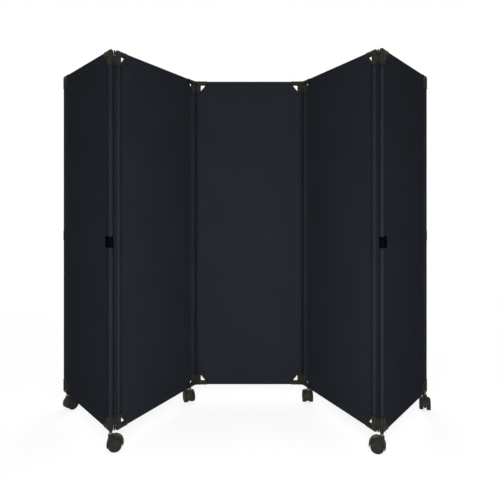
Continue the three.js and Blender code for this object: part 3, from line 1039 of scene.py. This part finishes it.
def stitch_tree():
    """Rows of stitches along every edge of a mesh, each a little askew."""
    tree, sockets, given = start_tree("stitch_rows", (
        ("Lines", "Geometry", None),
        ("Pitch", "Float", 4 * MM),
        ("Stitch Length", "Float", 3 * MM),
        ("Thread Radius", "Float", 0.3 * MM),
        ("Slant Seed", "Int", 7),
        ("Thread", "Material", None),
    ), "Stitches")
    path = add_node(tree, "GeometryNodeMeshToCurve", {"Mesh": given["Lines"]})
    spots = add_node(tree, "GeometryNodeCurveToPoints", {
        "Curve": path.outputs["Curve"], "Length": given["Pitch"]}, mode="LENGTH")
    half = arithmetic(tree, "MULTIPLY", given["Stitch Length"], 0.5)
    stitch = ball(tree, segments=6, rings=4, radius=given["Thread Radius"], half_height=half)
    least, most = (0.03, -0.05, 0), (0.15, 0.05, 0)
    slant = add_node(tree, "FunctionNodeRandomValue", {
        "Seed": given["Slant Seed"], 0: least, 1: most}, data_type="FLOAT_VECTOR")
    turn = add_node(tree, "FunctionNodeEulerToRotation", {"Euler": slant.outputs[0]})
    turns = {"Rotation": spots.outputs["Rotation"], "Rotate By": turn.outputs["Rotation"]}
    askew = add_node(tree, "FunctionNodeRotateRotation", turns, rotation_space="LOCAL")
    end_tree(tree, spots.outputs["Points"], stitch, askew.outputs["Rotation"], given["Thread"], "Stitches")
    return tree, sockets


def seam_lines(number, frame_sizes, sizes):
    """Rows of points along each hem and each corner tape, on both faces of the cloth."""
    rails, half = rail_heights(frame_sizes), half_spacing()
    on_hem = sizes.cloth * 1.7
    on_tape = sizes.cloth * 1.37
    hems = hem_lines(frame_sizes, sizes.seam, 3 * sizes.end_gap)
    lines = [(start, end, on_hem) for start, end, inward in hems]
    for start, end, inward in slants(frame_sizes, sizes):
        inset = inward * (6 * MM)
        lines.append((start + inset, end + inset, on_tape))
    points, edges = [], []
    for start, end, rise in lines:
        steps = max(4, round((end - start).length / (2 * sizes.grid)))
        for face in (-1, 1):
            first = len(points)
            for share in even_shares(steps):
                spot = start.lerp(end, share)
                wave = float(ripple_height(spot.x, spot.y, number, half, rails, sizes))
                points.append((spot.x, face * rise + wave, spot.y))
            edges += [(first + step, first + step + 1) for step in range(steps)]
    mesh = bpy.data.meshes.new("seams")
    mesh.from_pydata(points, edges, [])
    return mesh


class MakeStitches(bpy.types.Operator):
    """Sew the hems and the corner tapes of each cover"""
    bl_idname = "screen.make_stitches"
    bl_label = "Stitching"

    def execute(self, context):
        frame_sizes, sizes = context.scene.frame_sizes, context.scene.cloth_sizes
        tree, sockets = stitch_tree()
        for number in PANELS:
            rows = grown(seam_lines(number, frame_sizes, sizes), tree, sockets, {
                "Pitch": sizes.stitch_pitch, "Stitch Length": sizes.stitch_length,
                "Thread Radius": sizes.thread, "Slant Seed": number, "Thread": material_of("thread")})
            panel_piece(number, "stitches", rows)
        return {"FINISHED"}


# Corner mouldings

def corner_distance(sizes, is_on_hinge, stem_inset, stem_radius):
    """Distance function of a corner moulding: corner at the origin, socket along X, collar up Z."""
    edge, fillet = sizes.moulded_edge, sizes.moulded_fillet
    outer, sleeve = sizes.moulding_radius, sizes.moulding_radius - sizes.bead_rise
    bore, gap = sizes.tube_radius + sizes.running_gap, sizes.running_gap
    origin, mouth, top = (0, 0, 0), (sizes.socket_length, 0, 0), (0, 0, sizes.collar_top)
    mouth_rim = (sizes.socket_length - sizes.bead_length, 0, 0)
    top_rim = (0, 0, sizes.collar_top - sizes.bead_length)
    foot, head = [Vector((spot.x, 0, spot.y)) for spot in brace_ends(sizes)]
    slope = (head - foot).normalized()
    brace_directions = [tuple(slope), (0, 1, 0), (slope.z, 0, -slope.x)]
    brace_halves = ((head - foot).length / 2, sizes.brace_depth / 2, sizes.brace_width / 2)

    def distance(points):
        x, y, z = points[..., 0], points[..., 1], points[..., 2]
        along_x, along_z = np.hypot(y, z), np.hypot(x, y)
        plastic = rod(points, origin, mouth, sleeve, edge)
        plastic = joined(plastic, rod(points, origin, top, sleeve, edge), fillet)
        plastic = joined(plastic, common(along_x - outer, along_z - outer, 2 * fillet), edge)
        for end, rim in ((mouth, mouth_rim), (top, top_rim)):
            plastic = joined(plastic, rod(points, rim, end, outer, edge), edge)
        brace = block(points, (foot + head) / 2, brace_directions, brace_halves, edge)
        plastic = joined(plastic, brace, fillet)
        if is_on_hinge:
            slot_ends = (0, 0, sizes.slot_low), (0, 0, sizes.slot_high)
            slot = rod(points, *slot_ends, outer + sizes.strip_gap, sizes.eye_gap)
            plastic = cut(plastic, slot, sizes.eye_gap)
        for limit, radial in ((x, along_x), (z, along_z)):
            plastic = cut(plastic, np.maximum(radial - bore, -limit), gap)
        plastic = cut(plastic, np.maximum(along_x, along_z) - bore, gap)
        if stem_inset is not None:
            hole = np.hypot(x - stem_inset, y) - stem_radius - gap
            plastic = cut(plastic, np.maximum(hole, z), gap)
        return plastic

    return distance


class MakeCorners(bpy.types.Operator):
    """Mould the corner pieces: socket, split knuckle, collar and slanting brace"""
    bl_idname = "screen.make_corners"
    bl_label = "Corner mouldings"

    def execute(self, context):
        sizes, stem_radius = context.scene.frame_sizes, context.scene.caster_sizes.stem_radius
        rails, half, stems = rail_heights(sizes), half_spacing(), stem_insets()
        low = (-sizes.moulding_radius,) * 3
        high = (sizes.socket_length, sizes.moulding_radius, sizes.collar_top)
        moulds = {}
        for number in PANELS:
            for corner, (side, rail, turn) in CORNERS.items():
                kind = (is_hinged(number, corner.split("_")[1]), stems.get((number, corner)))
                if kind not in moulds:
                    distance = corner_distance(sizes, *kind, stem_radius)
                    moulds[kind] = moulded("corner", distance, low, high, cell=0.75 * MM, keep_share=0.22)
                place = Matrix.Translation((side * half, 0, rails[rail])) @ turn
                panel_piece(number, f"corner_{corner}", moulds[kind].copy(),
                            [f"bracket_{corner}"], ["moulding"], place)
        return {"FINISHED"}


# Rivets

def rivet_tree():
    """A domed head on every point, turned to the point's own direction."""
    tree, sockets, given = start_tree("rivet_heads", (
        ("Places", "Geometry", None),
        ("Head Radius", "Float", 2.5 * MM),
        ("Head Rise", "Float", 1 * MM),
        ("Steel", "Material", None),
    ), "Rivets")
    spots = add_node(tree, "GeometryNodeMeshToPoints", {"Mesh": given["Places"]})
    facing = add_node(tree, "GeometryNodeInputNamedAttribute", {"Name": "facing"}, data_type="FLOAT_VECTOR")
    way = {"Vector": facing.outputs["Attribute"]}
    turn = add_node(tree, "FunctionNodeAlignRotationToVector", way, axis="Z")
    head = ball(tree, segments=20, rings=10, radius=given["Head Radius"], half_height=given["Head Rise"])
    end_tree(tree, spots.outputs["Points"], head, turn.outputs["Rotation"], given["Steel"], "Rivets")
    return tree, sockets


class MakeRivets(bpy.types.Operator):
    """Fix each corner moulding to its rail with a rivet on its back"""
    bl_idname = "screen.make_rivets"
    bl_label = "Rivets"

    def execute(self, context):
        sizes = context.scene.frame_sizes
        rails, along = rail_heights(sizes), half_spacing() - sizes.rivet_place
        sleeve = sizes.moulding_radius - sizes.bead_rise
        tree, sockets = rivet_tree()
        points = [(side * along, sleeve, rail) for side in (-1, 1) for rail in rails.values()]
        for number in PANELS:
            mesh = bpy.data.meshes.new("rivets")
            mesh.from_pydata(points, [], [])
            facing_back = mesh.attributes.new("facing", "FLOAT_VECTOR", "POINT")
            facing_back.data.foreach_set("vector", [0, 1, 0] * len(points))
            heads = grown(mesh, tree, sockets, {
                "Head Radius": sizes.rivet_radius, "Head Rise": sizes.rivet_rise,
                "Steel": material_of("steel")})
            panel_piece(number, "rivets", heads)
        return {"FINISHED"}


# Hinges

def tongue_reach(sizes):
    return sizes.slot_low + sizes.eye_gap + sizes.moulding_radius - sizes.tongue_inset


def eye_height(sizes):
    return sizes.slot_high - sizes.slot_low - 2 * sizes.eye_gap


def link_distance(sizes):
    """Distance function of a hinge link: two eyes, a web between them and a tongue below it."""
    eye, edge = half_pitch(), sizes.moulded_edge
    height, reach = eye_height(sizes), tongue_reach(sizes)
    bore = sizes.tube_radius + sizes.running_gap
    web_halves = (eye, sizes.web_width / 2, height / 2)
    tongue_halves = (sizes.tongue / 2, sizes.tongue / 2, reach / 2 + edge)

    def distance(points):
        plastic = block(points, (0, 0, height / 2), np.eye(3), web_halves, edge)
        for x in (-eye, eye):
            barrel = rod(points, (x, 0, 0), (x, 0, height), sizes.moulding_radius, edge)
            plastic = joined(plastic, barrel, edge)
        tongue = block(points, (0, 0, -reach / 2 + edge), np.eye(3), tongue_halves, edge)
        plastic = joined(plastic, tongue, edge)
        waist = rod(points, (0, -METRE, height / 2), (0, METRE, height / 2), height / 4, edge)
        hollow = np.maximum(waist, sizes.web_width / 2 - 1.5 * edge - np.abs(points[..., 1]))
        plastic = cut(plastic, hollow, edge)
        for x in (-eye, eye):
            hole = np.hypot(points[..., 0] - x, points[..., 1]) - bore
            plastic = cut(plastic, hole, 2 * sizes.running_gap)
        return plastic

    return distance


class MakeLinks(bpy.types.Operator):
    """Mould the links that join two uprights at the top and the bottom of each joint"""
    bl_idname = "screen.make_links"
    bl_label = "Hinge links"

    def execute(self, context):
        sizes = context.scene.frame_sizes
        rails = rail_heights(sizes)
        reach = half_pitch() + sizes.moulding_radius
        low = (-reach, -sizes.moulding_radius, -tongue_reach(sizes))
        high = (reach, sizes.moulding_radius, eye_height(sizes))
        mould = moulded("link", link_distance(sizes), low, high, cell=0.75 * MM, keep_share=0.3)
        foot = sizes.slot_low + sizes.eye_gap
        levels = (("bottom", rails["low"] + foot, 0), ("top", rails["high"] - foot, math.pi))
        for name, uprights in HINGES.items():
            for level, z, turn in levels:
                upright = Matrix.Translation((0, 0, z)) @ Matrix.Rotation(turn, 4, "X")
                make_piece(f"{name}_eyes_{level}", mould.copy(), hinge_place(*uprights) @ upright, name,
                           [f"{name}_link_{level}"], ["moulding"])
        return {"FINISHED"}


def strip_outline(sizes):
    """A bar between two uprights, hollowed on both sides to their radius."""
    flank, eye, chords = sizes.moulding_radius + sizes.strip_gap, half_pitch(), 12
    half = math.asin(sizes.strip_depth / 2 / flank)
    lip = 0.8 * MM
    outline = []
    for side in (1, -1):
        for step in range(chords + 1):
            angle = side * (half - 2 * half * step / chords)
            outline.append((side * (eye - flank * math.cos(angle)), flank * math.sin(angle)))
        outline.append((side * (eye - flank * math.cos(half) - lip), -side * sizes.strip_depth / 2))
    return outline


class MakeStrips(bpy.types.Operator):
    """Extrude the rubber strip that closes each joint against light"""
    bl_idname = "screen.make_strips"
    bl_label = "Light strips"

    def execute(self, context):
        outline = strip_outline(context.scene.frame_sizes)
        for name, uprights in HINGES.items():
            low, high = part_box(f"{name}_light_strip")
            rings = [[(x, y, z) for x, y in outline] for z in (low.z, high.z)]
            strip = outward(make_mesh("strip", *swept(rings)))
            make_piece(f"{name}_strip", strip, hinge_place(*uprights), name,
                       [f"{name}_light_strip"], ["rubber"])
        return {"FINISHED"}


# Straps

def strap_outline(sizes, frame_sizes, tail_length):
    """Outer and inner line of a strap round a sleeve, or round its outer half if there are no tails."""
    inner = frame_sizes.tube_radius + sizes.cloth + 2 * sizes.sleeve_slack
    if tail_length:
        beside_strip = frame_sizes.moulding_radius + frame_sizes.strip_gap - 2 * frame_sizes.running_gap
        inner = max(inner, beside_strip - sizes.strap)
    slit = sizes.cloth * 1.95
    lines = []
    for radius, rise in ((inner + sizes.strap, slit + sizes.strap), (inner, slit)):
        flank = [(tail_length, rise), (tail_length - 4 * MM, rise)] if tail_length else []
        lines.append(wrapped_line(radius, flank, steps=26))
    return lines


class MakeStraps(bpy.types.Operator):
    """Wrap a strap round the hinged upright of each end panel and a short one round the free upright"""
    bl_idname = "screen.make_straps"
    bl_label = "Straps"

    def execute(self, context):
        sizes, frame_sizes = context.scene.cloth_sizes, context.scene.frame_sizes
        half, height = half_spacing(), sizes.strap_height
        low, high = sizes.strap_centre - height / 2, sizes.strap_centre + height / 2
        soft_share = 1.5 * MM / height
        ring_shares = (0, soft_share, 0.2, 0.35, 0.5, 0.65, 0.8, 1 - soft_share, 1)
        for number, end in STRAPS:
            lines = strap_outline(sizes, frame_sizes, sizes.strap_tail if is_hinged(number, end) else 0)
            shape = ClothShape()
            shape.add_band(Vector((0, low)), Vector((0, high)), Vector((1, 0)), lines, ring_shares)
            side, turn = (-1, 0) if end == "left" else (1, math.pi)
            upright = Matrix.Translation((side * half, 0, 0)) @ Matrix.Rotation(turn, 4, "Z")
            band = panel_piece(number, f"band_{end}", shape.mesh("strap"),
                               [f"strap_{end}"], ["strap"], upright)
        return {"FINISHED"}


# Casters

def hood_distance(sizes, gap, trail):
    """Distance function of a caster's hood, web and neck: stem on Z, axle at the trail along X."""
    half_width, half_web, axle_height = sizes.hood_width / 2, sizes.web_width / 2, sizes.wheel_radius
    edge, reach = 1.2 * MM, sizes.hood_width
    well_radius, shaft_foot = sizes.hood_radius - sizes.hood_wall, sizes.wheel_radius + 10 * MM
    front, rear = math.radians(200), math.radians(355)
    past_front = np.array((-math.sin(front), math.cos(front)))
    past_rear = np.array((-math.sin(rear), math.cos(rear)))

    def crossbar(points, start, end, radius, soft):
        return rod(points, (trail, start, axle_height), (trail, end, axle_height), radius, soft)

    def distance(points):
        x, y, z = points[..., 0] - trail, points[..., 1], points[..., 2] - axle_height
        round_axle = np.hypot(x, z)
        crown = sizes.hood_crown * (1 - np.abs(y / half_width) ** 3)
        barrel = common(round_axle - sizes.hood_radius - crown, np.abs(y) - half_width, 4 * edge)
        before_front = x * past_front[0] + z * past_front[1]
        open_wedge = np.maximum(-before_front, x * past_rear[0] + z * past_rear[1])
        plastic = cut(barrel, open_wedge, edge)
        plastic = joined(plastic, crossbar(points, -half_web, half_web, sizes.web_radius, edge), edge)
        neck = rod(points, (0, 0, axle_height), (0, 0, sizes.neck_top), sizes.neck_foot_radius, edge,
                   sizes.neck_top_radius)
        plastic = joined(plastic, neck, sizes.fillet)
        for side in (-1, 1):
            well = crossbar(points, side * half_web, side * reach, well_radius, edge / 2)
            plastic = cut(plastic, well, edge / 2)
        plastic = cut(plastic, round_axle - sizes.axle_radius - gap, gap)
        round_stem = np.hypot(points[..., 0], y) - sizes.stem_radius - gap / 3
        return cut(plastic, np.maximum(round_stem, shaft_foot - points[..., 2]), gap)

    return distance


class MakeHoods(bpy.types.Operator):
    """Mould the hood of each caster with the web between its wheels and its neck"""
    bl_idname = "screen.make_hoods"
    bl_label = "Caster hoods"

    def execute(self, context):
        sizes, gap = context.scene.caster_sizes, context.scene.frame_sizes.running_gap
        trail = caster_trail(CASTERS[0])
        reach = sizes.hood_radius + sizes.hood_crown
        low = (trail - reach, -sizes.hood_width / 2, sizes.wheel_radius - sizes.web_radius)
        high = (trail + reach, sizes.hood_width / 2, sizes.neck_top)
        mould = moulded("hood", hood_distance(sizes, gap, trail), low, high, cell=0.85 * MM, keep_share=0.3)
        for name in CASTERS:
            make_piece(f"caster_{name}_housing", mould.copy(), caster_place(name), f"caster_{name}",
                       [f"caster_{name}_hood"], ["caster"])
        return {"FINISHED"}


def stem_profile(sizes, under_frame):
    """Half outline of the turned stem: shaft in the neck, swivel cup on it, washer under the frame."""
    shaft, cup, washer = sizes.stem_radius, 1.45 * sizes.stem_radius, 1.35 * sizes.stem_radius
    edge = 0.6 * MM
    foot, cup_foot = sizes.wheel_radius + 12 * MM, sizes.neck_top + 0.1 * MM
    below = [(cup, 4), (cup - 2 * edge, 3), (shaft, 3), (shaft, 2), (washer - edge, 2), (washer, 1.6),
             (washer, 0.7), (washer - edge, 0.3), (shaft, 0.3)]
    return [
        (0, foot), (shaft, foot), (shaft, cup_foot), (cup - edge, cup_foot), (cup, sizes.neck_top + edge),
        *[(radius, under_frame - millimetres * MM) for radius, millimetres in below],
        (shaft, sizes.stem_top - edge), (shaft - edge, sizes.stem_top), (0, sizes.stem_top),
    ]


class MakeStems(bpy.types.Operator):
    """Turn the plated steel stem of each caster"""
    bl_idname = "screen.make_stems"
    bl_label = "Caster stems"

    def execute(self, context):
        sizes = context.scene.caster_sizes
        under_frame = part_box("panel_3_bracket_bottom_left")[0].z
        for name in CASTERS:
            stem = outward(make_mesh("stem", *turned(stem_profile(sizes, under_frame), segments=40)))
            make_piece(f"caster_{name}_stem", stem, caster_place(name), f"caster_{name}",
                       (), ["steel"])
        return {"FINISHED"}


def wheel_profile(sizes):
    """Half outlines of one wheel's tyre and disc: (radius, distance from the axle's middle) pairs."""
    inner = sizes.tread_gap / 2
    outer = inner + sizes.tread_width
    tread, round_edge = sizes.wheel_radius, 2.6 * MM
    rim = tread - 4.2 * MM
    shoulder = [(tread - round_edge * (1 - math.sin(turn)), outer - round_edge * (1 - math.cos(turn)))
                for turn in (math.radians(degrees) for degrees in (90, 67, 45, 22, 0))]
    inner_shoulder = [(radius, inner + outer - depth) for radius, depth in reversed(shoulder)]
    tyre = [(rim, inner), *inner_shoulder, *shoulder, (rim, outer)]
    disc = [
        (rim - 0.4 * MM, outer - 0.9 * MM), (rim - 1.3 * MM, outer - 1.2 * MM),
        (0.62 * tread, outer - 1.7 * MM), (0.36 * tread, outer - 1.9 * MM),
        (0.33 * tread, outer - 1.5 * MM), (0.31 * tread, outer - 0.5 * MM),
        (0.28 * tread, outer - 0.2 * MM), (0.14 * tread, outer), (0, outer),
    ]
    return tyre, disc


def wheel_mesh(sizes):
    """Two wheels with their axle on Z, in the hoods' plastic apart from the two rubber tyres."""
    tyre, disc = wheel_profile(sizes)
    half = [(sizes.axle_radius, 0), (sizes.axle_radius, sizes.tread_gap / 2), *tyre, *disc]
    profile = [*[(radius, -depth) for radius, depth in reversed(half)], *half[1:]]
    segments = 56
    rubber_rings = set()
    for first in (len(disc) - 1, len(half) + 1):
        rubber_rings |= set(range(first, first + len(tyre) - 1))
    mesh = make_mesh("wheels", *turned(profile, segments))
    for face in mesh.polygons:
        face.material_index = 1 if face.index // segments in rubber_rings else 0
    return outward(mesh)


class MakeWheels(bpy.types.Operator):
    """Turn the twin wheels of each caster with their axle"""
    bl_idname = "screen.make_wheels"
    bl_label = "Wheels"

    def execute(self, context):
        sizes = context.scene.caster_sizes
        wheels = wheel_mesh(sizes)
        for name in CASTERS:
            axle = Matrix.Translation((caster_trail(name), 0, sizes.wheel_radius))
            place = caster_place(name) @ axle @ Matrix.Rotation(-math.pi / 2, 4, "X")
            make_piece(f"caster_{name}_wheel_pair", wheels.copy(), place, f"wheels_{name}",
                       [f"caster_{name}_wheels"], ["caster", "tyre"])
        return {"FINISHED"}


# Stage

# Place, target and diameter of each lamp in metres, and its power in watts
LAMPS = {
    "key": ((-0.15, -4.4, 2.3), (0, 0, 0.9), 2.6, 60),
    "back": ((0.3, 4.6, 2.4), (0, 0, 0.9), 2.6, 60),
    "near": ((0.14, -1.55, 0.75), (-0.05, 0.28, 0.7), 1.4, 16),
}
SURROUND_LIGHT = 0.4
FLOOR_REACH = 14 * METRE

# The camera's place from the floor under the middle panel, and its lens in millimetres
CAMERA_OFFSET = Vector((0.005, -2.612, 1.114)) * METRE
CAMERA_LENS = 32.98
CAMERA_SENSOR = 36
CAMERA_SHIFT = -0.0918


class MakeStage(bpy.types.Operator):
    """Set the floor, the soft light and the camera"""
    bl_idname = "screen.make_stage"
    bl_label = "Stage"

    def execute(self, context):
        scene = context.scene
        self.add_floor(scene)
        self.light_world(scene)
        for name, (place, target, diameter, power) in LAMPS.items():
            self.add_lamp(scene, name, place, target, diameter, power)
        self.add_camera(scene)
        scene.view_settings.view_transform = "Standard"
        return {"FINISHED"}

    def add_floor(self, scene):
        corners = [(x * FLOOR_REACH, y * FLOOR_REACH, 0) for x, y in ((-1, -1), (1, -1), (1, 1), (-1, 1))]
        mesh = make_mesh("floor", corners, [(0, 1, 2, 3)])
        mesh.materials.append(pale_floor(scene.screen_colours.floor, white_share=0.5, open_light=0.48))
        floor = bpy.data.objects.new("floor", mesh)
        scene.collection.objects.link(floor)

    def light_world(self, scene):
        """A plain surround that lights softly and is seen as white."""
        scene.world = bpy.data.worlds.new("studio")
        scene.world.use_nodes = True
        tree = scene.world.node_tree
        lighting = tree.nodes["Background"]
        set_inputs(tree, lighting, {"Color": (1, 1, 1, 1), "Strength": SURROUND_LIGHT})
        seen = add_node(tree, "ShaderNodeBackground", {"Color": (1, 1, 1, 1), "Strength": 1})
        mix = shader_mix(tree, seen_rays(tree), lighting.outputs[0], seen.outputs[0])
        set_inputs(tree, tree.nodes["World Output"], {"Surface": mix})

    def add_lamp(self, scene, name, place, target, diameter, power):
        lamp = bpy.data.lights.new(name, "AREA")
        lamp.shape = "DISK"
        lamp.size = diameter * METRE
        lamp.energy = power
        holder = bpy.data.objects.new(name, lamp)
        holder.location = Vector(place) * METRE
        holder.rotation_euler = (Vector(target) - Vector(place)).to_track_quat("-Z", "Y").to_euler()
        scene.collection.objects.link(holder)

    def add_camera(self, scene):
        """Level camera in front of the middle panel, with the horizon above the middle of the picture."""
        middle = (joint_place["pivot_3_left"] + joint_place["pivot_3_right"]) / 2
        camera = bpy.data.cameras.new("camera")
        camera.sensor_width = CAMERA_SENSOR
        camera.lens = CAMERA_LENS
        camera.shift_y = CAMERA_SHIFT
        camera.clip_end = 100 * METRE
        holder = bpy.data.objects.new("camera", camera)
        holder.location = Vector((middle.x, middle.y, 0)) + CAMERA_OFFSET
        holder.rotation_euler = (math.pi / 2, 0, 0)
        scene.collection.objects.link(holder)
        scene.camera = holder


MAKERS = (MakeStage, MakeTubes, MakeCovers, MakeStitches, MakeCorners, MakeRivets, MakeLinks, MakeStrips,
          MakeStraps, MakeHoods, MakeStems, MakeWheels)
GROUPS = {
    "frame_sizes": FrameSizes,
    "cloth_sizes": ClothSizes,
    "caster_sizes": CasterSizes,
    "screen_colours": ScreenColours,
}


class ScreenPanel(bpy.types.Panel):
    """The makers of the screen, in the order in which they run"""
    bl_idname = "VIEW3D_PT_ward_screen"
    bl_label = "Ward privacy screen"
    bl_space_type = "VIEW_3D"
    bl_region_type = "UI"
    bl_category = "Screen"

    def draw(self, context):
        for maker in MAKERS:
            self.layout.operator(maker.bl_idname)
        for name, group in GROUPS.items():
            box = self.layout.box()
            for key in group.__annotations__:
                box.prop(getattr(context.scene, name), key)


def register():
    for kind in (*GROUPS.values(), *MAKERS, ScreenPanel):
        bpy.utils.register_class(kind)
    for name, group in GROUPS.items():
        setattr(bpy.types.Scene, name, PointerProperty(type=group))


def unregister():
    for name in GROUPS:
        delattr(bpy.types.Scene, name)
    for kind in reversed((*GROUPS.values(), *MAKERS, ScreenPanel)):
        bpy.utils.unregister_class(kind)


def main():
    register()
    for maker in MAKERS:
        group, action = maker.bl_idname.split(".")
        getattr(getattr(bpy.ops, group), action)()


if __name__ == "__main__":
    main()
